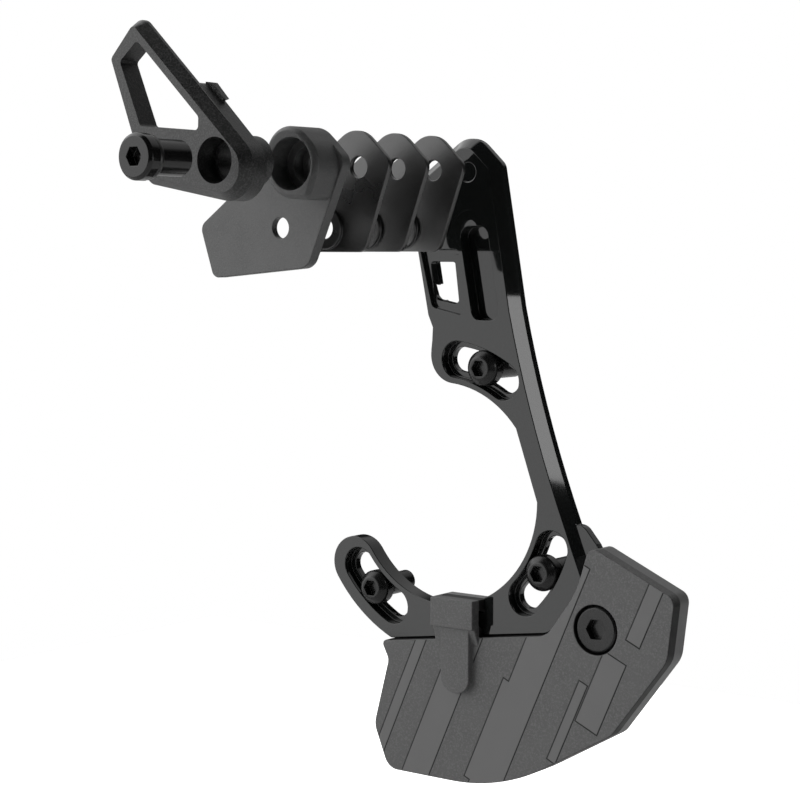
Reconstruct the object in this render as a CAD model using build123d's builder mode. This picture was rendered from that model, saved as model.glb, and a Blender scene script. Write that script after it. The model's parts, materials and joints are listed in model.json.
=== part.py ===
from build123d import *
import os
from math import cos, radians, sin

# Bicycle chain guide: a slotted backplate, a clip-on bash guard and an upper guide taken apart.
# +X points forward along the bicycle, -Y outboard and +Z up. The origin lies on the crank axis, in
# the plane of the frame's three mounting tabs. Every sketch is drawn in an XZ plane, at a distance
# outboard of that plane. The upper guide's pieces stand in line, each away from the next one.
os.makedirs("parts", exist_ok=True)

# Mounting: three bolts on a standard circle, each in a curved slot for adjustment
bolt_circle_radius = 36.5
bolt_spacing_angle = 100.0
top_bolt_angle = 69.7
slot_shifts = (1.0, -1.2, 0.0)
slot_half_angle = 12.4
bolt_diameter = 6.0
bolt_neck_diameter = 5.4
thread_start = 0.6
bolt_head_diameter = 9.5
bolt_head_height = 4.6
bolt_head_edge = 1.7
bolt_length = 12.0
bolt_hex = 4.0
slot_clearance = 0.3
head_clearance = 0.2

# Backplate: thickness, floor under the bolt heads and ring round the bottom bracket
arm_thickness = 5.0
slot_floor = 2.2
ring_inner_radius = 30.0
ring_outer_radius = 44.9
ring_forward_angle = -38.0
slot_end_angle = 2.0
chord_low_angle = 0.0
chord_high_angle = 39.0
elbow_left = (-5.2, 47.9)
elbow_right = (23.4, 49.8)
jog = ((-3.6, 44.6), (-3.5, 41.0), (-2.8, 39.5))
arm_belly = (31.1, 21.5)
bevel_width = 2.5
bevel_depth = 3.0

# The forward side runs past the ring through a knee and two toe corners, each given by how far it
# lies beyond the ring and by its angle. From there it is filled up to the bash guard's edge.
knee_and_toe = ((-3.5, -7.6), (-0.6, -13.8), (4.75, -21.5))
fill_rounds = ((37.0, -26.0, 9.0), (29.0, -31.5, 9.0))

# Window and pocket in the arm, each by its corners
window_corners = ((-5.5, 62.1), (3.6, 62.1), (5.6, 51.4), (-4.1, 51.9))
window_radius = 1.3
ledge_corners = ((-7.8, 65.4), (4.6, 65.4), (6.4, 48.2), (-3.9, 50.3))
ledge_depth = 1.0
pocket_corners = ((4.9, 71.5), (13.8, 71.5), (18.1, 46.9), (9.4, 46.9))
pocket_radius = 2.8
pocket_depth = 3.5

# Upper guide stack: its axis and the second screw below it, and circles given from the axis
guide_axis = (7.7, 85.7)
screw_offset = (-10.1, -14.9)
head_rounds = ((-1.1, 1.9, 7.0), (6.0, 0.3, 3.3), (-16.7, -4.0, 3.0))
shim_rounds = ((-13.9, -17.8, 3.0), (-0.4, -17.8, 3.0))
blade_rounds = ((-4.3, -20.7, 4.0), (-30.6, -24.9, 2.2), (-33.5, -15.3, 2.5))
boss_rounds = ((-1.1, 1.9, 7.0), (0.0, -0.3, 7.9), (3.9, -6.4, 2.0))

# Shims with an embossed collar round the lower screw
shim_thickness = 1.5
shim_count = 3
screw_diameter = 5.0
shim_hole_diameter = 5.2
collar_radius = 5.2
collar_height = 1.0
collar_clearance = 0.1

# Inner guide: the tube's bore, with a thread for the guide bolt and one for a screw at its end
blade_thickness = 3.0
boss_thickness = 11.1
boss_bore_diameter = 12.4
boss_edge = 1.0
bore_floor = 4.8
screw_thread_end = 1.7

# Outer guide: a triangular frame, deeper at its hub, with a tube; circles given from the guide axis
frame_rounds = ((-25.2, 30.0, 3.0), (-31.0, 24.0, 3.0), (-20.9, -1.9, 3.2), (1.8, -1.7, 7.4))
hub_rounds = ((1.8, -1.7, 7.4), (-8.8, 14.9, 3.0))
frame_window = ((-23.9, 28.0), (-29.5, 23.5), (-23.1, 8.4), (-4.9, 6.8), (-4.8, 9.9))
frame_window_radius = 1.0
frame_depth = 7.5
bar_depth = 5.7
frame_bevel_width = 1.8
frame_bevel_depth = 3.0
bar_rear_bevel = 1.7
tab_corners = ((-8.0, 18.2), (-5.7, 17.9), (-2.1, 14.1), (-3.3, 13.8), (-8.0, 13.5))
tab_thickness = 1.5
tube_diameter = 11.9
tube_length = 6.0

# Guide bolt with its sealing ring
guide_bolt_head_height = 3.2
guide_bolt_diameter = 8.2
guide_bolt_head_overhang = 1.05
guide_bolt_grip = 10.2
guide_bolt_hex = 4.0
ring_section = 1.2
ring_overhang = 0.9
bolt_sink = 1.4
running_clearance = 0.1
thread_clearance = 0.06

# Bash guard, its bolt and its clip
guard_corners = ((-19.8, -41.8), (34.5, -34.1), (43.4, -21.8), (47.3, -9.4), (72.2, -20.5),
                 (70.2, -36.6), (54.2, -57.6), (20.0, -77.3), (-17.3, -77.3), (-22.2, -65.5),
                 (-17.2, -46.8))
guard_radii = (1.2, 5.5, 25.0, 2.6, 3.2, 7.0, 6.0, 60.0, 4.5, 6.0, 3.0)
guard_rise = 2.0
guard_thickness = 8.0
flange_thickness = 2.5
guard_clearance = 0.3
flange_seat_clearance = 0.1
bash_bolt_place = (49.3, -30.9)
bash_bolt_head_diameter = 12.3
bash_bolt_head_height = 2.6
bash_bolt_sink = 0.2
bash_bolt_hex = 5.0
bash_bolt_length = 6.0
lug_rounds = ((49.3, -30.9, 8.5), (44.6, -11.2, 2.5), (41.2, -8.5, 3.3), (36.0, -26.0, 8.0))
clip_left = -0.7
clip_right = 13.1
clip_rise = 3.0
clip_strap = 3.15
clip_slope = 1.0
clip_top = -27.2
clip_seat = -30.3
clip_step = -35.0
clip_foot = -39.8
tongue_left = 2.0
tongue_right = 11.2
tongue_bottom = -52.7
tongue_height = 2.0
tongue_flat = 0.8

# Distances between the pieces as they are laid out, one after the other along the guide axis
shim_gap = 13.79
blade_gap = 14.6
frame_gap = 12.6
bolt_gap = 10.8

# Sockets and small edges of the screws
socket_depth = 2.2
head_edge = 0.7
shank_edge = 0.6

# Places along the outboard direction, worked out from the sizes above
arm_front = arm_thickness
flange_front = flange_thickness
guard_front = arm_front + guard_rise
guard_rear = guard_front - guard_thickness
clip_front = guard_front + clip_rise
shim_step = shim_gap + shim_thickness
shim_rears = [arm_front + shim_gap + shim_step * place for place in range(shim_count)]
blade_rear = shim_rears[-1] + shim_thickness + blade_gap
boss_front = blade_rear + boss_thickness
tube_end = boss_front + frame_gap
frame_rear = tube_end + tube_length
frame_front = frame_rear + frame_depth
guide_bolt_end = frame_front + bolt_gap
guide_bolt_seat = guide_bolt_end + guide_bolt_grip + ring_section
guide_bolt_head_radius = guide_bolt_diameter / 2 + guide_bolt_head_overhang
head_bore_radius = guide_bolt_head_radius + running_clearance
head_pocket_depth = bolt_sink + guide_bolt_head_height + ring_section
screw_places = (guide_axis, (guide_axis[0] + screw_offset[0], guide_axis[1] + screw_offset[1]))
bash_bolt_seat = guard_front - bash_bolt_sink - bash_bolt_head_height
ring_middle_radius = (ring_inner_radius + ring_outer_radius) / 2
ring_width = ring_outer_radius - ring_inner_radius
bolt_angles = [top_bolt_angle - bolt_spacing_angle * turn for turn in range(3)]
slot_angles = [angle + shift for angle, shift in zip(bolt_angles, slot_shifts)]


def outboard(distance):
    """Sketch plane at a distance outboard of the mounting plane."""
    return Plane.XZ.offset(distance)


def on_circle(radius, angle):
    """Point at an angle round the crank axis."""
    return (radius * cos(radians(angle)), radius * sin(radians(angle)))


def from_axis(points):
    """Moves points or circles that are given from the guide axis into the part's frame."""
    return [(guide_axis[0] + point[0], guide_axis[1] + point[1], *point[2:]) for point in points]


def arc_slot(radius, first_angle, last_angle, width):
    """Slot with round ends that follows a circle round the crank axis."""
    SlotArc(Edge.make_circle(radius, start_angle=first_angle, end_angle=last_angle), width)


def mounting_slots(width):
    """The three curved slots, at one width."""
    for angle in slot_angles:
        arc_slot(bolt_circle_radius, angle - slot_half_angle, angle + slot_half_angle, width)


def hull_sketch(rounds, corners=()):
    """Outline drawn tight round circles and, where it is sharp, round corners."""
    with BuildSketch(Plane.XY) as outline:
        for x, z, radius in rounds:
            with Locations((x, z)):
                Circle(radius)
        if corners:
            with BuildLine():
                Polyline(*corners)
        make_hull()
    return outline.sketch


def rounded_outline(corners, radius):
    """Outline through corners, with one radius or one for each of them."""
    with BuildSketch(Plane.XY) as outline:
        with BuildLine():
            FilletPolyline(*corners, radius=radius, close=True)
        make_face()
    return outline.sketch


def hex_hole(width):
    """Hexagon by its width across flats."""
    RegularPolygon(width / 2, 6, major_radius=False)


def end_edges(part, distance):
    """Edges that lie in the plane at a distance outboard."""
    return part.edges().filter_by_position(Axis.Y, -distance - 0.01, -distance + 0.01)


def is_forward(edge):
    """Tells whether an edge lies along the arm's forward side, outside the ring's opening."""
    place = edge.center()
    beside_head = place.X > guide_axis[0] + head_rounds[1][0] + head_rounds[1][2] / 2
    outside = (place.X ** 2 + place.Z ** 2) ** 0.5 > ring_inner_radius * 1.1
    return beside_head and outside and place.Z > forward_corners[-1][1]


# Arm, whose lower end has the ring's inner side and one straight run in it, and ring
forward_corners = [on_circle(ring_outer_radius + step, angle) for step, angle in knee_and_toe]
ring_end = slot_angles[0] + slot_half_angle + slot_end_angle
ring_start = slot_angles[-1] - slot_half_angle - slot_end_angle
with BuildSketch(Plane.XY) as arm_outline:
    with BuildLine():
        CenterArc((0, 0), ring_inner_radius, ring_forward_angle, chord_low_angle - ring_forward_angle)
        Line(on_circle(ring_inner_radius, chord_low_angle), on_circle(ring_inner_radius, chord_high_angle))
        CenterArc((0, 0), ring_inner_radius, chord_high_angle, ring_end - chord_high_angle)
        Polyline(on_circle(ring_inner_radius, ring_end), on_circle(ring_middle_radius, ring_end),
                 *reversed(jog), elbow_left, elbow_right)
        ThreePointArc(elbow_right, arm_belly, forward_corners[0])
        Polyline(*forward_corners, on_circle(ring_outer_radius, ring_forward_angle),
                 on_circle(ring_inner_radius, ring_forward_angle))
    make_face()
    add(hull_sketch(from_axis(head_rounds), (elbow_left, elbow_right)))

with BuildSketch(Plane.XY) as ring_outline:
    arc_slot(ring_middle_radius, top_bolt_angle, ring_end, ring_width)
    arc_slot(ring_middle_radius, ring_start, ring_forward_angle, ring_width)

guard_outline = rounded_outline(guard_corners, guard_radii)
shim_face = hull_sketch(from_axis(head_rounds + shim_rounds))
blade_face = hull_sketch(from_axis(head_rounds + blade_rounds))
boss_face = hull_sketch(from_axis(boss_rounds))
frame_face = hull_sketch(from_axis(frame_rounds))
hub_face = hull_sketch(from_axis(hub_rounds))
fill_face = hull_sketch(fill_rounds)
lug_face = hull_sketch(lug_rounds)

# Backplate
with BuildPart() as backplate:
    with BuildSketch(outboard(0)):
        add(arm_outline.sketch)
    extrude(amount=arm_thickness)
    forward_edges = end_edges(backplate, arm_front).filter_by(is_forward)
    front_face = backplate.faces().sort_by(Axis.Y)[0]
    chamfer(forward_edges, bevel_width, bevel_depth, reference=front_face)
    # In front of the flange there is room for the bash guard, whose bolt the flange takes
    with BuildSketch(outboard(0)):
        add(ring_outline.sketch)
        add(fill_face)
    extrude(amount=arm_thickness)
    with BuildSketch(outboard(flange_front)):
        add(guard_outline)
        offset(amount=guard_clearance)
    extrude(amount=arm_front - flange_front, mode=Mode.SUBTRACT)
    with BuildSketch(outboard(0)):
        add(lug_face)
    extrude(amount=flange_thickness)
    # Slots: a counterbore for the head over a slot for the shank
    with BuildSketch(outboard(slot_floor)):
        mounting_slots(bolt_head_diameter + 2 * head_clearance)
    extrude(amount=arm_front - slot_floor, mode=Mode.SUBTRACT)
    with BuildSketch(outboard(0)):
        mounting_slots(bolt_diameter + 2 * slot_clearance)
        with Locations(bash_bolt_place):
            Circle(bolt_diameter / 2 + thread_clearance)
        with Locations(*screw_places):
            Circle(screw_diameter / 2 + running_clearance)
        add(rounded_outline(window_corners, window_radius))
    extrude(amount=arm_front, mode=Mode.SUBTRACT)
    # Window ledge, pocket and the notch where the clip sits
    with BuildSketch(outboard(arm_front - ledge_depth)):
        add(rounded_outline(ledge_corners, window_radius))
    extrude(amount=ledge_depth, mode=Mode.SUBTRACT)
    with BuildSketch(outboard(arm_front - pocket_depth)):
        add(rounded_outline(pocket_corners, pocket_radius))
    extrude(amount=pocket_depth, mode=Mode.SUBTRACT)
    with BuildSketch(outboard(0)):
        with Locations(((clip_left + clip_right) / 2, clip_seat - guard_clearance)):
            Rectangle(clip_right - clip_left + 2 * guard_clearance, ring_middle_radius - ring_inner_radius,
                      align=(Align.CENTER, Align.MIN))
    extrude(amount=arm_thickness, mode=Mode.SUBTRACT)

# Three mounting bolts, one in each slot, with a slimmer neck up to where the thread starts
with BuildPart() as mount_bolts:
    bolt_places = [on_circle(bolt_circle_radius, angle) for angle in bolt_angles]
    with BuildSketch(outboard(slot_floor)):
        with Locations(*bolt_places):
            Circle(bolt_head_diameter / 2)
    extrude(amount=bolt_head_height)
    chamfer(end_edges(mount_bolts, slot_floor + bolt_head_height), bolt_head_edge)
    with BuildSketch(outboard(slot_floor)):
        with Locations(*bolt_places):
            Circle(bolt_neck_diameter / 2)
    extrude(amount=-slot_floor - thread_start)
    with BuildSketch(outboard(-thread_start)):
        with Locations(*bolt_places):
            Circle(bolt_diameter / 2)
    extrude(amount=slot_floor + thread_start - bolt_length)
    with BuildSketch(outboard(slot_floor + bolt_head_height)):
        with Locations(*bolt_places):
            hex_hole(bolt_hex)
    extrude(amount=-socket_depth, mode=Mode.SUBTRACT)

# Bash guard with the clip that hooks over the ring
with BuildPart() as bash_guard:
    with BuildSketch(outboard(guard_rear)):
        add(guard_outline)
    extrude(amount=guard_thickness)
    # Clip, drawn from the side: strap in front of the ring, block over its inner edge and a foot
    with BuildSketch(Plane.YZ.offset(clip_left)):
        with BuildLine():
            Polyline((-clip_front, clip_top), (0, clip_top), (0, clip_seat),
                     (clip_strap - clip_front, clip_seat), (clip_strap - clip_front, clip_step + clip_slope),
                     (-arm_front - guard_clearance, clip_step), (-arm_front - guard_clearance, clip_foot),
                     (-guard_front, clip_foot), (-guard_front - tongue_height, clip_step),
                     (-clip_front, clip_step), (-clip_front, clip_top))
        make_face()
    extrude(amount=clip_right - clip_left)
    with BuildSketch(outboard(guard_front)):
        with Locations(((tongue_left + tongue_right) / 2, tongue_bottom)):
            Rectangle(tongue_right - tongue_left, clip_step - tongue_bottom,
                      align=(Align.CENTER, Align.MIN))
        fillet(vertices().group_by(Axis.Y)[0], (tongue_right - tongue_left - tongue_flat) / 2)
    extrude(amount=tongue_height)
    # Room behind it for the flange, then the bolt's seat and hole
    with BuildSketch(outboard(guard_rear)):
        add(arm_outline.sketch)
        add(ring_outline.sketch)
        add(fill_face)
        add(lug_face)
        offset(amount=guard_clearance)
    extrude(amount=flange_front + flange_seat_clearance - guard_rear, mode=Mode.SUBTRACT)
    with BuildSketch(outboard(bash_bolt_seat)):
        with Locations(bash_bolt_place):
            Circle(bash_bolt_head_diameter / 2 + guard_clearance)
    extrude(amount=guard_front - bash_bolt_seat, mode=Mode.SUBTRACT)
    with BuildSketch(outboard(guard_rear)):
        with Locations(bash_bolt_place):
            Circle(bolt_diameter / 2 + guard_clearance)
    extrude(amount=guard_thickness, mode=Mode.SUBTRACT)

# Low head bolt of the bash guard
with BuildPart() as bash_bolt:
    with BuildSketch(outboard(bash_bolt_seat)):
        with Locations(bash_bolt_place):
            Circle(bash_bolt_head_diameter / 2)
    extrude(amount=bash_bolt_head_height)
    chamfer(end_edges(bash_bolt, bash_bolt_seat + bash_bolt_head_height), head_edge)
    with BuildSketch(outboard(bash_bolt_seat)):
        with Locations(bash_bolt_place):
            Circle(bolt_diameter / 2)
    extrude(amount=-bash_bolt_length)
    with BuildSketch(outboard(bash_bolt_seat + bash_bolt_head_height)):
        with Locations(bash_bolt_place):
            hex_hole(bash_bolt_hex)
    extrude(amount=-socket_depth, mode=Mode.SUBTRACT)


def make_shim(rear):
    """One shim with its rear face at a distance outboard."""
    with BuildPart() as shim:
        with BuildSketch(outboard(rear)):
            add(shim_face)
        extrude(amount=shim_thickness)
        with BuildSketch(outboard(rear + shim_thickness)):
            with Locations(screw_places[1]):
                Circle(collar_radius)
        extrude(amount=collar_height)
        with BuildSketch(outboard(rear)):
            with Locations(screw_places[1]):
                Circle(collar_radius + collar_clearance)
        extrude(amount=collar_height + collar_clearance, mode=Mode.SUBTRACT)
        with BuildSketch(outboard(rear)):
            with Locations(*screw_places):
                Circle(shim_hole_diameter / 2)
        extrude(amount=shim_thickness + collar_height, mode=Mode.SUBTRACT)
    return shim.part


# Inner guide: a blade that leans back and down, with a boss for the outer guide's tube
with BuildPart() as inner_guide:
    with BuildSketch(outboard(blade_rear)):
        add(blade_face)
    extrude(amount=blade_thickness)
    with BuildSketch(outboard(blade_rear)):
        add(boss_face)
    extrude(amount=boss_thickness)
    chamfer(end_edges(inner_guide, boss_front), boss_edge)
    with BuildSketch(outboard(blade_rear + bore_floor)):
        with Locations(guide_axis):
            Circle(boss_bore_diameter / 2)
    extrude(amount=boss_thickness - bore_floor, mode=Mode.SUBTRACT)
    with BuildSketch(outboard(blade_rear + screw_thread_end)):
        with Locations(guide_axis):
            Circle(guide_bolt_diameter / 2 + thread_clearance)
    extrude(amount=bore_floor - screw_thread_end, mode=Mode.SUBTRACT)
    with BuildSketch(outboard(blade_rear)):
        with Locations(*screw_places):
            Circle(screw_diameter / 2 + thread_clearance)
    extrude(amount=blade_thickness, mode=Mode.SUBTRACT)
    with BuildSketch(outboard(blade_rear)):
        with Locations(screw_places[1]):
            Circle(collar_radius + collar_clearance)
    extrude(amount=collar_height + collar_clearance, mode=Mode.SUBTRACT)

# Outer guide
with BuildPart() as outer_guide:
    with BuildSketch(outboard(frame_front)):
        add(frame_face)
    extrude(amount=-bar_depth)
    frame_front_face = outer_guide.faces().sort_by(Axis.Y)[0]
    chamfer(end_edges(outer_guide, frame_front), frame_bevel_width, frame_bevel_depth,
            reference=frame_front_face)
    chamfer(end_edges(outer_guide, frame_front - bar_depth), bar_rear_bevel)
    with BuildSketch(outboard(frame_rear)):
        add(hub_face)
    extrude(amount=frame_depth - frame_bevel_depth)
    with BuildSketch(outboard(frame_rear)):
        add(rounded_outline(from_axis(frame_window), frame_window_radius))
    extrude(amount=frame_depth, mode=Mode.SUBTRACT)
    with BuildSketch(outboard(frame_rear)):
        with BuildLine():
            Polyline(*from_axis(tab_corners), close=True)
        make_face()
    extrude(amount=tab_thickness)
    with BuildSketch(outboard(tube_end)):
        with Locations(guide_axis):
            Circle(tube_diameter / 2)
    extrude(amount=tube_length)
    with BuildSketch(outboard(tube_end)):
        with Locations(guide_axis):
            Circle(guide_bolt_diameter / 2 + running_clearance)
    extrude(amount=tube_length + frame_depth, mode=Mode.SUBTRACT)
    with BuildSketch(outboard(frame_front)):
        with Locations(guide_axis):
            Circle(head_bore_radius)
    extrude(amount=-head_pocket_depth, mode=Mode.SUBTRACT)

# Guide bolt and the ring that lies under its head
with BuildPart() as guide_bolt:
    with BuildSketch(outboard(guide_bolt_seat)):
        with Locations(guide_axis):
            Circle(guide_bolt_head_radius)
    extrude(amount=guide_bolt_head_height)
    chamfer(end_edges(guide_bolt, guide_bolt_seat + guide_bolt_head_height), head_edge)
    with BuildSketch(outboard(guide_bolt_end)):
        with Locations(guide_axis):
            Circle(guide_bolt_diameter / 2)
    extrude(amount=guide_bolt_grip + ring_section)
    chamfer(end_edges(guide_bolt, guide_bolt_end), shank_edge)
    with BuildSketch(outboard(guide_bolt_seat + guide_bolt_head_height)):
        with Locations(guide_axis):
            hex_hole(guide_bolt_hex)
    extrude(amount=-socket_depth, mode=Mode.SUBTRACT)

with BuildPart() as bolt_o_ring:
    with BuildSketch(outboard(guide_bolt_seat - ring_section)):
        with Locations(guide_axis):
            Circle(guide_bolt_diameter / 2 + ring_overhang)
            Circle(guide_bolt_diameter / 2 + thread_clearance, mode=Mode.SUBTRACT)
    extrude(amount=ring_section)

pieces = {
    "backplate": backplate.part,
    "mount_bolts": mount_bolts.part,
    "bash_guard": bash_guard.part,
    "bash_bolt": bash_bolt.part,
    "inner_guide": inner_guide.part,
    "outer_guide": outer_guide.part,
    "guide_bolt": guide_bolt.part,
    "bolt_o_ring": bolt_o_ring.part,
}
for name, rear in zip(("shim_inner", "shim_middle", "shim_outer"), shim_rears):
    pieces[name] = make_shim(rear)
for name, piece in pieces.items():
    piece.label = name
    export_step(piece, f"parts/{name}.step")
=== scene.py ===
"""Bicycle chain guide, taken apart along its upper guide's axis, in a white studio."""

import json
from math import cos, pi, radians, sin

import bmesh
import bpy
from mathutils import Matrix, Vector

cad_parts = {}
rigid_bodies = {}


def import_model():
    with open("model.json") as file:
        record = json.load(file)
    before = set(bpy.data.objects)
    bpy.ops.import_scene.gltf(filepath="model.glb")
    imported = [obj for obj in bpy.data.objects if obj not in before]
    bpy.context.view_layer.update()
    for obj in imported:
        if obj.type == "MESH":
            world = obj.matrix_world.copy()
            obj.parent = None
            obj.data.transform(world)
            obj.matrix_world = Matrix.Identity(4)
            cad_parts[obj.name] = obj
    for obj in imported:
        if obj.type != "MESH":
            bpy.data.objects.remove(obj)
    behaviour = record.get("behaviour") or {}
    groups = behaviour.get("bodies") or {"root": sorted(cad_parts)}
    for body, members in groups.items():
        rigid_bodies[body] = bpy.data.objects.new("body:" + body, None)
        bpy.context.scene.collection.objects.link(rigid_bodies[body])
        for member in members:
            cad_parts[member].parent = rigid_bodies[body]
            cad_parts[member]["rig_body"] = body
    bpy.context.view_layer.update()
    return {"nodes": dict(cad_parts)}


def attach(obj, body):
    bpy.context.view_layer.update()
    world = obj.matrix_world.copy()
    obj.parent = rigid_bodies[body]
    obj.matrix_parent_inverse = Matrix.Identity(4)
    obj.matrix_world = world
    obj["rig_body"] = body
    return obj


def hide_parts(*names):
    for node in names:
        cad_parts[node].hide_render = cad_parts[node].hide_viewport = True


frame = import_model()

MM = 0.001

# Camera: where the photograph was taken from, and its lens on a 36 mm wide sensor
CAMERA_PLACE = (317.05 * MM, -437.85 * MM, 67.5 * MM)
CAMERA_AZIMUTH = radians(37.346)
CAMERA_ELEVATION = radians(4.54)
CAMERA_LENS = 90.55
CAMERA_SHIFT = (-0.0052, 0.0017)

# Studio: brightness of the backdrop and of the dim room, the floor, and cards as direction, outer and
# inner half angle, and brightness
BACKDROP = 1.0
DIM_ROOM = 0.02
FLOOR_HALF_SIZE = 1.2
FLOOR_PLACE = (0, 0, -0.35)
CARDS = [
    ((-0.68, -0.73, -0.08), 52, 36, 1.75),
    ((-0.6, -0.5, 0.55), 36, 12, 1.0),
    ((-0.65, 0.15, 0.75), 40, 25, 1.6),
    ((0.0, 0.75, 0.66), 34, 14, 0.5),
    ((0.93, 0.1, -0.35), 42, 20, 0.7),
]
# Strip light that the arm's long bevel reflects: place, aim, size and power
STRIP_LIGHT = ((0.122, -0.0447, 0.0635), (0.031, -0.0035, 0.0635), (0.024, 0.033), 0.0125)

# Bash guard: slanted bars on its front, as middle along X and Z, half length, half width and lean
GUARD_BARS = [
    ((-14, -58), (40.0, 1.6), 66),
    ((-3, -66), (40.0, 4.2), 66),
    ((17, -62), (15.5, 2.4), 66),
    ((27, -50), (40.0, 4.8), 66),
    ((41, -56), (12.0, 1.4), 66),
    ((51, -47), (10.5, 3.6), 66),
    ((64, -25), (9.0, 2.2), 66),
]
# Arm: square rear side, ledge, window with its undercut and tab, filled screw hole; corners along X and Z
REAR_SIDE = ((-11.94, 81.1), (-5.2, 47.9), (-3.7, 44.6), (-3.9, 41.0), (-4.2, 38.5), (-1.6, 38.5),
             (-1.6, 41.5), (0.0, 44.0), (0.6, 47.9), (-6.0, 66.0), (-8.0, 75.0))
LEDGE = ((-7.75, 65.4), (3.2, 65.4), (5.4, 48.1), (-2.9, 49.8), (-3.6, 50.3), (-4.1, 51.2))
WINDOW_FILL = ((-2.0, 64.0), (5.0, 64.0), (7.6, 47.6), (-2.0, 48.0))
WINDOW = ((-5.2, 62.1), (2.7, 62.1), (4.5, 52.6), (3.0, 50.8), (-3.6, 52.0), (-4.3, 54.5))
UNDERCUT = ((-5.9, 56.0), (-2.0, 56.0), (-2.0, 51.7), (-3.9, 52.05), (-4.9, 53.0))
WINDOW_TAB = ((-6.5, 63.0), (-4.9, 63.0), (-3.6, 56.1), (-5.5, 56.1))
SCREW_HOLE = tuple((7.7 + 2.7 * cos(radians(30 * turn)), 85.7 + 2.7 * sin(radians(30 * turn)))
                   for turn in range(12))
ARM_FRONT = -5.0 * MM
LEDGE_FLOOR = -3.6 * MM
UNDERCUT_FRONT = -2.6 * MM
TAB_FRONT = -1.2 * MM
WINDOW_ROUNDING = 0.8 * MM
DIMPLE = 0.4 * MM
OVERSHOOT = 1.0 * MM
# Changes to the backplate in order, as operation, outline, front, rear and rounding
BACKPLATE_CHANGES = [
    ("UNION", REAR_SIDE, ARM_FRONT, 0),
    ("UNION", WINDOW_FILL, ARM_FRONT, 0),
    ("DIFFERENCE", LEDGE, ARM_FRONT - OVERSHOOT, LEDGE_FLOOR),
    ("DIFFERENCE", WINDOW, ARM_FRONT - OVERSHOOT, OVERSHOOT, WINDOW_ROUNDING),
    ("DIFFERENCE", UNDERCUT, UNDERCUT_FRONT, OVERSHOOT),
    ("UNION", WINDOW_TAB, TAB_FRONT, 0),
    ("UNION", SCREW_HOLE, ARM_FRONT + DIMPLE, -DIMPLE),
]

# Mounting bolts: their circle, their angles, and each shoulder of a head as its place along Y and its radius
BOLT_CIRCLE = 36.5 * MM
BOLT_ANGLES = (69.7, -30.3, -130.3)
BOLT_SHOULDERS = ((-6.8 * MM, 3.05 * MM), (-5.1 * MM, 4.75 * MM))

GUARD_FRONT = -7.0 * MM
# Depth along Y where the guard's painted shade band ends and its painted light begins
GUARD_SHADE_LINE = -3.6 * MM

# Points this near are one, an edge is broken from the first angle on, and below the second it is flat
SAME_POINT = 0.002 * MM
SHARP_EDGE = radians(28)
FLAT_ENOUGH = radians(0.6)
HEAD_ROUNDING = 0.5 * MM
# The outer guide's tube and hub meet so closely that an unclamped edge throws a spike there
CLAMPED = "outer_guide"


def add_camera():
    """Camera at the photograph's viewing angle."""
    camera = bpy.data.cameras.new("camera")
    camera.lens = CAMERA_LENS
    camera.sensor_width = 36
    camera.shift_x, camera.shift_y = CAMERA_SHIFT
    camera.clip_start = 0.01
    camera.clip_end = 20
    holder = bpy.data.objects.new("camera", camera)
    holder.location = CAMERA_PLACE
    holder.rotation_euler = (pi / 2 - CAMERA_ELEVATION, 0, CAMERA_AZIMUTH)
    bpy.context.scene.collection.objects.link(holder)
    bpy.context.scene.camera = holder


def new_material(name):
    """Empty material with a Principled shader, its tree and its shader."""
    material = bpy.data.materials.new(name)
    material.use_nodes = True
    tree = material.node_tree
    return material, tree, tree.nodes["Principled BSDF"]


def add_node(tree, kind, **settings):
    """Node of a kind, with its sockets or attributes set by name."""
    node = tree.nodes.new(kind)
    for name, value in settings.items():
        if name in node.inputs:
            node.inputs[name].default_value = value
        else:
            setattr(node, name, value)
    return node


def make_group(name, inputs, outputs):
    """Shader node group with named sockets, its input node and its output node."""
    group = bpy.data.node_groups.new(name, "ShaderNodeTree")
    for socket, kind, value in inputs:
        made = group.interface.new_socket(socket, in_out="INPUT", socket_type=kind)
        made.default_value = value
    for socket, kind in outputs:
        group.interface.new_socket(socket, in_out="OUTPUT", socket_type=kind)
    return group, group.nodes.new("NodeGroupInput"), group.nodes.new("NodeGroupOutput")


def make_grain_group():
    """Fine grain of a moulded or blasted face: a speckle value and a bumped normal."""
    group, start, end = make_group("fine_grain", [
        ("Scale", "NodeSocketFloat", 2500.0),
        ("Depth", "NodeSocketFloat", 0.02),
        ("Blotch", "NodeSocketFloat", 0.3),
    ], [("Speckle", "NodeSocketFloat"), ("Blotches", "NodeSocketFloat"), ("Normal", "NodeSocketVector")])
    place = add_node(group, "ShaderNodeTexCoord")
    fine = add_node(group, "ShaderNodeTexNoise", Detail=3.0, Roughness=0.65)
    wide = add_node(group, "ShaderNodeTexNoise", Scale=90.0, Detail=3.0)
    bump = add_node(group, "ShaderNodeBump", Distance=0.0001)
    blotch = add_node(group, "ShaderNodeMath", operation="MULTIPLY")
    links = group.links
    links.new(place.outputs["Object"], fine.inputs["Vector"])
    links.new(place.outputs["Object"], wide.inputs["Vector"])
    links.new(start.outputs["Scale"], fine.inputs["Scale"])
    links.new(fine.outputs["Fac"], bump.inputs["Height"])
    links.new(start.outputs["Depth"], bump.inputs["Strength"])
    links.new(wide.outputs["Fac"], blotch.inputs[0])
    links.new(start.outputs["Blotch"], blotch.inputs[1])
    links.new(fine.outputs["Fac"], end.inputs["Speckle"])
    links.new(blotch.outputs[0], end.inputs["Blotches"])
    links.new(bump.outputs["Normal"], end.inputs["Normal"])
    return group


def add_group(tree, group, **values):
    """Places a node group in a material with its own values."""
    node = tree.nodes.new("ShaderNodeGroup")
    node.node_tree = group
    for name, value in values.items():
        node.inputs[name].default_value = value
    return node


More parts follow.
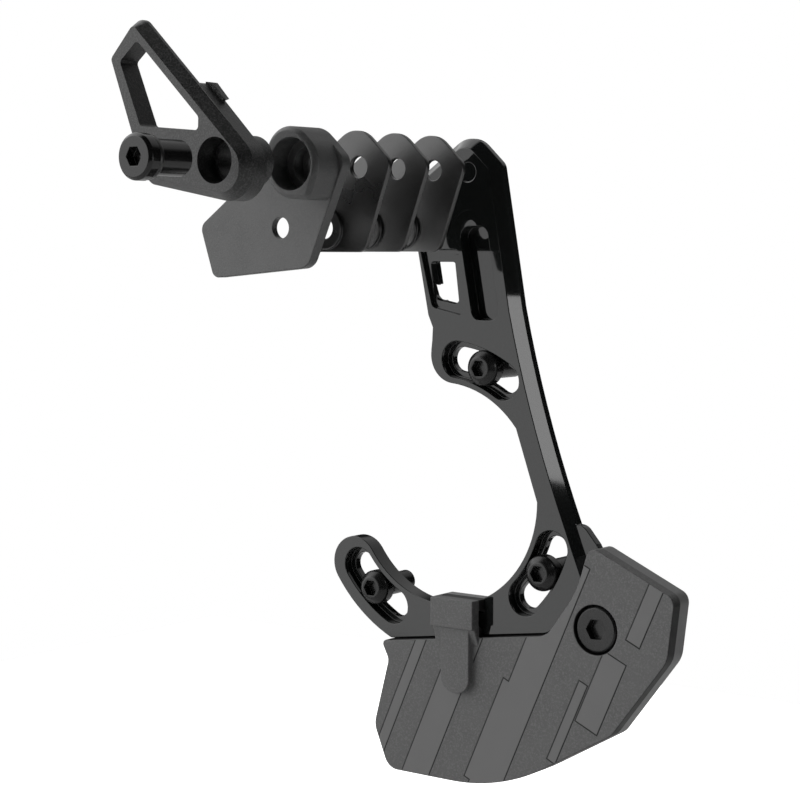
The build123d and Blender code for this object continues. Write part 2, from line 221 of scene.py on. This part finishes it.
def ramp_between(tree, source, low, high, dark, light):
    """Colour that goes from dark to light as a value goes from low to high."""
    ramp = tree.nodes.new("ShaderNodeValToRGB")
    ramp.color_ramp.elements[0].position = low
    ramp.color_ramp.elements[1].position = high
    ramp.color_ramp.elements[0].color = (*dark, 1)
    ramp.color_ramp.elements[1].color = (*light, 1)
    tree.links.new(source, ramp.inputs["Fac"])
    return ramp.outputs["Color"]


def value_between(tree, source, low, high):
    """Value that follows a noise between two limits."""
    span = add_node(tree, "ShaderNodeMapRange")
    span.inputs["From Min"].default_value = 0.3
    span.inputs["From Max"].default_value = 0.7
    span.inputs["To Min"].default_value = low
    span.inputs["To Max"].default_value = high
    tree.links.new(source, span.inputs["Value"])
    return span.outputs["Result"]


def reckon(tree, operation, *values):
    """Sum, product or other sum of values and sockets, as a value."""
    node = add_node(tree, "ShaderNodeMath", operation=operation)
    for socket, value in zip(node.inputs, values):
        if isinstance(value, (int, float)):
            socket.default_value = value
        else:
            tree.links.new(value, socket)
    return node.outputs[0]


def step_between(tree, source, low, high):
    """Value that rises smoothly from 0 to 1 while another goes from low to high."""
    span = add_node(tree, "ShaderNodeMapRange", interpolation_type="SMOOTHSTEP")
    span.inputs["From Min"].default_value = low
    span.inputs["From Max"].default_value = high
    tree.links.new(source, span.inputs["Value"])
    return span.outputs["Result"]


def mix_colours(tree, mask, first, second):
    """Colour that goes from the first to the second with a mask."""
    mix = add_node(tree, "ShaderNodeMix", data_type="RGBA")
    tree.links.new(mask, mix.inputs["Factor"])
    for socket, colour in ((mix.inputs[6], first), (mix.inputs[7], second)):
        if isinstance(colour, tuple):
            socket.default_value = (*colour, 1)
        else:
            tree.links.new(colour, socket)
    return mix.outputs[2]


def make_speck_group():
    """Short light fibres and pits in a filled nylon: a mask of specks and a bumped normal."""
    group, start, end = make_group("fibre_specks", [
        ("Scale", "NodeSocketFloat", 1500.0),
        ("Depth", "NodeSocketFloat", 0.2),
    ], [("Specks", "NodeSocketFloat"), ("Clouds", "NodeSocketFloat"), ("Normal", "NodeSocketVector")])
    place = add_node(group, "ShaderNodeTexCoord")
    coarse = add_node(group, "ShaderNodeTexNoise", Detail=2.0, Roughness=0.7, Distortion=0.6)
    clouds = add_node(group, "ShaderNodeTexNoise", Scale=120.0, Detail=4.0, Roughness=0.6)
    bump = add_node(group, "ShaderNodeBump", Distance=0.00012)
    links = group.links
    links.new(place.outputs["Object"], coarse.inputs["Vector"])
    links.new(place.outputs["Object"], clouds.inputs["Vector"])
    links.new(start.outputs["Scale"], coarse.inputs["Scale"])
    links.new(start.outputs["Depth"], bump.inputs["Strength"])
    links.new(coarse.outputs["Fac"], bump.inputs["Height"])
    links.new(step_between(group, coarse.outputs["Fac"], 0.48, 0.62), end.inputs["Specks"])
    links.new(clouds.outputs["Fac"], end.inputs["Clouds"])
    links.new(bump.outputs["Normal"], end.inputs["Normal"])
    return group


def make_bar_group():
    """Distance in metres to the outline of one slanted bar on a face across Y, negative inside it."""
    group, start, end = make_group("slanted_bar", [
        ("Middle", "NodeSocketVector", (0.0, 0.0, 0.0)),
        ("Half Length", "NodeSocketFloat", 0.01),
        ("Half Width", "NodeSocketFloat", 0.003),
        ("Lean", "NodeSocketFloat", 1.2),
    ], [("Distance", "NodeSocketFloat")])
    place = add_node(group, "ShaderNodeTexCoord")
    centred = add_node(group, "ShaderNodeVectorMath", operation="SUBTRACT")
    turned = add_node(group, "ShaderNodeVectorRotate", rotation_type="Y_AXIS")
    parts = add_node(group, "ShaderNodeSeparateXYZ")
    links = group.links
    links.new(place.outputs["Object"], centred.inputs[0])
    links.new(start.outputs["Middle"], centred.inputs[1])
    links.new(centred.outputs["Vector"], turned.inputs["Vector"])
    links.new(start.outputs["Lean"], turned.inputs["Angle"])
    links.new(turned.outputs["Vector"], parts.inputs["Vector"])
    along = reckon(group, "SUBTRACT", reckon(group, "ABSOLUTE", parts.outputs["X"]),
                   start.outputs["Half Length"])
    across = reckon(group, "SUBTRACT", reckon(group, "ABSOLUTE", parts.outputs["Z"]),
                    start.outputs["Half Width"])
    links.new(reckon(group, "MAXIMUM", along, across), end.inputs["Distance"])
    return group


def make_dark_finish(name, grain, dark, light, smooth, rough, metallic=0.0, scale=2500.0, depth=0.02,
                     specular=0.5):
    """Dark finish with a grain: colour and roughness both follow the grain."""
    material, tree, shader = new_material(name)
    texture = add_group(tree, grain, Scale=scale, Depth=depth, Blotch=1.0)
    tree.links.new(ramp_between(tree, texture.outputs["Speckle"], 0.35, 0.65, dark, light),
                   shader.inputs["Base Color"])
    tree.links.new(value_between(tree, texture.outputs["Blotches"], smooth, rough),
                   shader.inputs["Roughness"])
    tree.links.new(texture.outputs["Normal"], shader.inputs["Normal"])
    shader.inputs["Metallic"].default_value = metallic
    shader.inputs["Specular IOR Level"].default_value = specular
    return material


def make_composite(name, specks, dark, light, scale, depth, smooth, rough, specular):
    """Fibre filled nylon: light specks in a dark ground, cloudy at a larger scale."""
    material, tree, shader = new_material(name)
    texture = add_group(tree, specks, Scale=scale, Depth=depth)
    cloud = tuple(1.35 * part for part in dark)
    ground = ramp_between(tree, texture.outputs["Clouds"], 0.3, 0.7, dark, cloud)
    tree.links.new(mix_colours(tree, texture.outputs["Specks"], ground, light), shader.inputs["Base Color"])
    tree.links.new(value_between(tree, texture.outputs["Specks"], smooth, rough), shader.inputs["Roughness"])
    tree.links.new(texture.outputs["Normal"], shader.inputs["Normal"])
    shader.inputs["Specular IOR Level"].default_value = specular
    return material


def make_guard_nylon(specks, bar):
    """Grey nylon of the bash guard: fine specks and raised bars with engraved edges, with painted shade in
    the grooves and on the front band of the lower side walls, and painted light on the guard behind that
    band.
    """
    material, tree, shader = new_material("grey_nylon")
    texture = add_group(tree, specks, Scale=1900.0, Depth=0.1)
    place = add_node(tree, "ShaderNodeTexCoord")
    parts = add_node(tree, "ShaderNodeSeparateXYZ")
    tree.links.new(place.outputs["Object"], parts.inputs["Vector"])
    nearest = None
    for (x, z), (half_length, half_width), lean in GUARD_BARS:
        node = add_group(tree, bar, Lean=radians(lean))
        node.inputs["Middle"].default_value = (x * MM, 0, z * MM)
        node.inputs["Half Length"].default_value = half_length * MM
        node.inputs["Half Width"].default_value = half_width * MM
        distance = node.outputs["Distance"]
        nearest = distance if nearest is None else reckon(tree, "MINIMUM", nearest, distance)
    on_front = step_between(tree, parts.outputs["Y"], GUARD_FRONT + 0.05 * MM, GUARD_FRONT + 0.02 * MM)
    not_raised = step_between(tree, parts.outputs["Y"], GUARD_FRONT - 0.05 * MM, GUARD_FRONT - 0.02 * MM)
    front = reckon(tree, "MULTIPLY", on_front, not_raised)
    inside = step_between(tree, nearest, 0.08 * MM, -0.08 * MM)
    groove = step_between(tree, reckon(tree, "ABSOLUTE", nearest), 0.24 * MM, 0.12 * MM)
    inside_front = reckon(tree, "MULTIPLY", inside, front)
    groove_front = reckon(tree, "MULTIPLY", groove, front)
    # Painted shade: the front 3.4 mm of the guard's side walls, below z about −21 mm, is painted near black
    # for the shade they show
    side = reckon(tree, "MULTIPLY", step_between(tree, parts.outputs["Y"], GUARD_FRONT + 0.02 * MM,
                                                 GUARD_FRONT + 0.2 * MM),
                  step_between(tree, parts.outputs["Y"], GUARD_SHADE_LINE + 0.1 * MM, GUARD_SHADE_LINE - 0.1 * MM))
    painted_side_shade = reckon(tree, "MULTIPLY", side, step_between(tree, parts.outputs["Z"], -20 * MM, -23 * MM))
    cloudy = ramp_between(tree, texture.outputs["Clouds"], 0.3, 0.7, (0.082, 0.082, 0.082), (0.1, 0.1, 0.1))
    ground = mix_colours(tree, texture.outputs["Specks"], cloudy, (0.12, 0.12, 0.12))
    barred = mix_colours(tree, inside_front, ground, (0.13, 0.13, 0.13))
    banded = mix_colours(tree, painted_side_shade, barred, (0.006, 0.006, 0.006))
    # Painted light: everything on the guard behind this line, sides and top included, is painted lighter for
    # the light those faces get
    painted_rear_light = reckon(tree, "MULTIPLY", step_between(tree, parts.outputs["Y"], GUARD_SHADE_LINE - 0.1 * MM,
                                                       GUARD_SHADE_LINE + 0.1 * MM), 0.8)
    banded = mix_colours(tree, painted_rear_light, banded, (0.2, 0.2, 0.2))
    # Painted shade: the engraved grooves round the bars are painted near black for the shade inside them
    groove_shaded_colour = mix_colours(tree, groove_front, banded, (0.004, 0.004, 0.004))
    tree.links.new(groove_shaded_colour, shader.inputs["Base Color"])
    tree.links.new(value_between(tree, texture.outputs["Clouds"], 0.5, 0.62), shader.inputs["Roughness"])
    relief = add_node(tree, "ShaderNodeBump", Distance=0.0001, Strength=0.6)
    tree.links.new(reckon(tree, "SUBTRACT", inside_front, groove_front), relief.inputs["Height"])
    tree.links.new(texture.outputs["Normal"], relief.inputs["Normal"])
    tree.links.new(relief.outputs["Normal"], shader.inputs["Normal"])
    shader.inputs["Specular IOR Level"].default_value = 0.35
    return material


def make_prism(corners, front, rear, rounded=0.0):
    """Temporary block with an outline in X and Z, from one place along Y to another."""
    block = bmesh.new()
    face = block.faces.new([block.verts.new((x * MM, front, z * MM)) for x, z in corners])
    grown = bmesh.ops.extrude_face_region(block, geom=[face])["geom"]
    moved = [item for item in grown if isinstance(item, bmesh.types.BMVert)]
    bmesh.ops.translate(block, verts=moved, vec=(0, rear - front, 0))
    if rounded:
        upright = [edge for edge in block.edges if abs(edge.verts[0].co.y - edge.verts[1].co.y) > 0.1 * MM]
        bmesh.ops.bevel(block, geom=upright, offset=rounded, segments=4, affect="EDGES", profile=0.5,
                        material=-1)
    bmesh.ops.recalc_face_normals(block, faces=block.faces)
    mesh = bpy.data.meshes.new("prism")
    block.to_mesh(mesh)
    block.free()
    prism = bpy.data.objects.new("prism", mesh)
    bpy.context.scene.collection.objects.link(prism)
    return prism


def carve(mesh, cuts):
    """Adds blocks to a closed mesh or takes them away, and gives the new mesh."""
    blank = bpy.data.objects.new("blank", mesh)
    bpy.context.scene.collection.objects.link(blank)
    for operation, *block in cuts:
        tool = make_prism(*block)
        change = blank.modifiers.new("change", "BOOLEAN")
        change.operation = operation
        change.object = tool
        change.solver = "EXACT"
        carved = bpy.data.meshes.new_from_object(blank.evaluated_get(bpy.context.evaluated_depsgraph_get()))
        blank.modifiers.clear()
        blank.data = carved
        bpy.data.objects.remove(tool)
    bpy.data.objects.remove(blank)
    return carved


def round_bolt_heads(shell):
    """Rounds the shoulders of the three mounting bolts' heads."""
    shoulders = []
    for edge in shell.edges:
        ends = [point.co for point in edge.verts]
        for angle in BOLT_ANGLES:
            axis = Vector((BOLT_CIRCLE * cos(radians(angle)), 0, BOLT_CIRCLE * sin(radians(angle))))
            radii = [(Vector((end.x, 0, end.z)) - axis).length for end in ends]
            for depth, radius in BOLT_SHOULDERS:
                if all(abs(end.y - depth) < 0.01 * MM for end in ends) and all(
                        abs(value - radius) < 0.05 * MM for value in radii):
                    shoulders.append(edge)
    bmesh.ops.bevel(shell, geom=shoulders, offset=HEAD_ROUNDING, segments=4, affect="EDGES", profile=0.5,
                    material=-1)


def dress(node, material, body, edge):
    """Stands a smooth copy of a CAD node in its place, with its sharp edges just broken."""
    solid = frame["nodes"][node]
    shell = bmesh.new()
    shell.from_mesh(solid.data)
    bmesh.ops.remove_doubles(shell, verts=shell.verts, dist=SAME_POINT)
    if node == "backplate":
        merged = bpy.data.meshes.new("merged")
        shell.to_mesh(merged)
        shell.clear()
        shell.from_mesh(carve(merged, BACKPLATE_CHANGES))
        bmesh.ops.remove_doubles(shell, verts=shell.verts, dist=SAME_POINT)
    bmesh.ops.dissolve_limit(shell, angle_limit=FLAT_ENOUGH, verts=shell.verts, edges=shell.edges)
    if node == "mount_bolts":
        round_bolt_heads(shell)
    for face in shell.faces:
        turns = [side.calc_face_angle(0) for side in face.edges]
        face.smooth = any(FLAT_ENOUGH < turn < SHARP_EDGE for turn in turns)
    mesh = bpy.data.meshes.new(node + "_finished")
    shell.to_mesh(mesh)
    shell.free()
    piece = bpy.data.objects.new(node + "_finished", mesh)
    bpy.context.scene.collection.objects.link(piece)
    mesh.materials.append(material)
    bevel = piece.modifiers.new("broken_edges", "BEVEL")
    bevel.width = edge
    bevel.segments = 2
    bevel.limit_method = "ANGLE"
    bevel.angle_limit = SHARP_EDGE
    bevel.use_clamp_overlap = node == CLAMPED
    even = piece.modifiers.new("even_shading", "WEIGHTED_NORMAL")
    even.weight = 90
    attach(piece, body)
    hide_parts(node)
    return piece


def card(tree, direction, outer, inner, strength):
    """Brightness of one soft white card of the studio, seen in a direction, as a value."""
    place = add_node(tree, "ShaderNodeTexCoord")
    toward = add_node(tree, "ShaderNodeVectorMath", operation="DOT_PRODUCT")
    toward.inputs[1].default_value = Vector(direction).normalized()
    tree.links.new(place.outputs["Generated"], toward.inputs[0])
    span = add_node(tree, "ShaderNodeMapRange", interpolation_type="SMOOTHSTEP")
    span.inputs["From Min"].default_value = cos(radians(outer))
    span.inputs["From Max"].default_value = cos(radians(inner))
    span.inputs["To Max"].default_value = strength
    tree.links.new(toward.outputs["Value"], span.inputs["Value"])
    return span.outputs["Result"]


def add_studio():
    """White studio: a pale floor and backdrop, and soft cards that the object reflects."""
    world = bpy.data.worlds.new("white_studio")
    world.use_nodes = True
    tree = world.node_tree
    backdrop = tree.nodes["Background"]
    total = DIM_ROOM
    for direction, outer, inner, strength in CARDS:
        added = add_node(tree, "ShaderNodeMath", operation="ADD")
        tree.links.new(card(tree, direction, outer, inner, strength), added.inputs[0])
        if isinstance(total, float):
            added.inputs[1].default_value = total
        else:
            tree.links.new(total, added.inputs[1])
        total = added.outputs[0]
    seen = add_node(tree, "ShaderNodeLightPath")
    pick = add_node(tree, "ShaderNodeMix", data_type="FLOAT")
    tree.links.new(seen.outputs["Is Camera Ray"], pick.inputs["Factor"])
    tree.links.new(total, pick.inputs["A"])
    pick.inputs["B"].default_value = BACKDROP
    tree.links.new(pick.outputs["Result"], backdrop.inputs["Strength"])
    backdrop.inputs["Color"].default_value = (1, 1, 1, 1)
    bpy.context.scene.world = world

    floor_mesh = bmesh.new()
    bmesh.ops.create_grid(floor_mesh, x_segments=1, y_segments=1, size=FLOOR_HALF_SIZE)
    bmesh.ops.translate(floor_mesh, verts=floor_mesh.verts, vec=FLOOR_PLACE)
    mesh = bpy.data.meshes.new("floor")
    floor_mesh.to_mesh(mesh)
    floor_mesh.free()
    floor = bpy.data.objects.new("floor", mesh)
    bpy.context.scene.collection.objects.link(floor)
    material, tree, shader = new_material("pale_floor")
    shader.inputs["Base Color"].default_value = (0.9, 0.9, 0.9, 1)
    shader.inputs["Roughness"].default_value = 0.9
    shader.inputs["Emission Color"].default_value = (1, 1, 1, 1)
    seen = add_node(tree, "ShaderNodeLightPath")
    tree.links.new(seen.outputs["Is Camera Ray"], shader.inputs["Emission Strength"])
    mesh.materials.append(material)


def add_strip_light(place, aim, size, power):
    """Small soft light at a place, turned to a point and unseen by the camera."""
    light = bpy.data.lights.new("strip_light", "AREA")
    light.shape = "RECTANGLE"
    light.size, light.size_y = size
    light.energy = power
    holder = bpy.data.objects.new("strip_light", light)
    holder.location = place
    holder.rotation_euler = (Vector(aim) - Vector(place)).to_track_quat("-Z", "Y").to_euler()
    holder.visible_camera = False
    bpy.context.scene.collection.objects.link(holder)


grain = make_grain_group()
specks = make_speck_group()
bar = make_bar_group()
gloss_plate = make_dark_finish("gloss_black_anodising", grain, (0.006, 0.0068, 0.0066), (0.009, 0.01, 0.0098),
                               0.03, 0.06, depth=0.004)
gloss_shim = make_dark_finish("gloss_black_shim", grain, (0.003, 0.003, 0.003), (0.007, 0.007, 0.007),
                              0.27, 0.36, scale=2200.0, depth=0.2, specular=1.0)
grey_nylon = make_guard_nylon(specks, bar)
dark_composite = make_composite("dark_composite", specks, (0.054, 0.055, 0.055), (0.08, 0.08, 0.08),
                                2300.0, 0.5, 0.4, 0.5, 0.45)
# Painted shade: the outer guide gets a darker copy of the inner guide's composite, standing in for the shade
# it shows
outer_composite_painted_shade = make_composite("outer_composite_painted_shade", specks, (0.012, 0.0125, 0.0125), (0.05, 0.05, 0.05),
                                 2300.0, 0.7, 0.34, 0.46, 0.42)
black_steel = make_dark_finish("black_steel", grain, (0.006, 0.006, 0.006), (0.012, 0.012, 0.012), 0.2, 0.3,
                               depth=0.03, specular=0.35)
black_aluminium = make_dark_finish("black_aluminium", grain, (0.004, 0.004, 0.004), (0.008, 0.008, 0.008),
                                   0.12, 0.18, depth=0.03, specular=0.42)
black_rubber = make_dark_finish("black_rubber", grain, (0.01, 0.01, 0.01), (0.02, 0.02, 0.02), 0.3, 0.4)

FINISHES = {
    "backplate": (gloss_plate, 0.22 * MM),
    "bash_guard": (grey_nylon, 0.3 * MM),
    "bash_bolt": (black_steel, 0.15 * MM),
    "mount_bolts": (black_steel, 0.15 * MM),
    "shim_inner": (gloss_shim, 0.2 * MM),
    "shim_middle": (gloss_shim, 0.2 * MM),
    "shim_outer": (gloss_shim, 0.2 * MM),
    "inner_guide": (dark_composite, 0.25 * MM),
    "outer_guide": (outer_composite_painted_shade, 0.2 * MM),
    "guide_bolt": (black_aluminium, 0.15 * MM),
    "bolt_o_ring": (black_rubber, 0.1 * MM),
}
for node, (finish, edge) in FINISHES.items():
    owner = frame["nodes"][node]["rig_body"]
    dress(node, finish, owner, edge)

add_camera()
add_studio()
add_strip_light(*STRIP_LIGHT)
bpy.context.scene.view_settings.view_transform = "Standard"
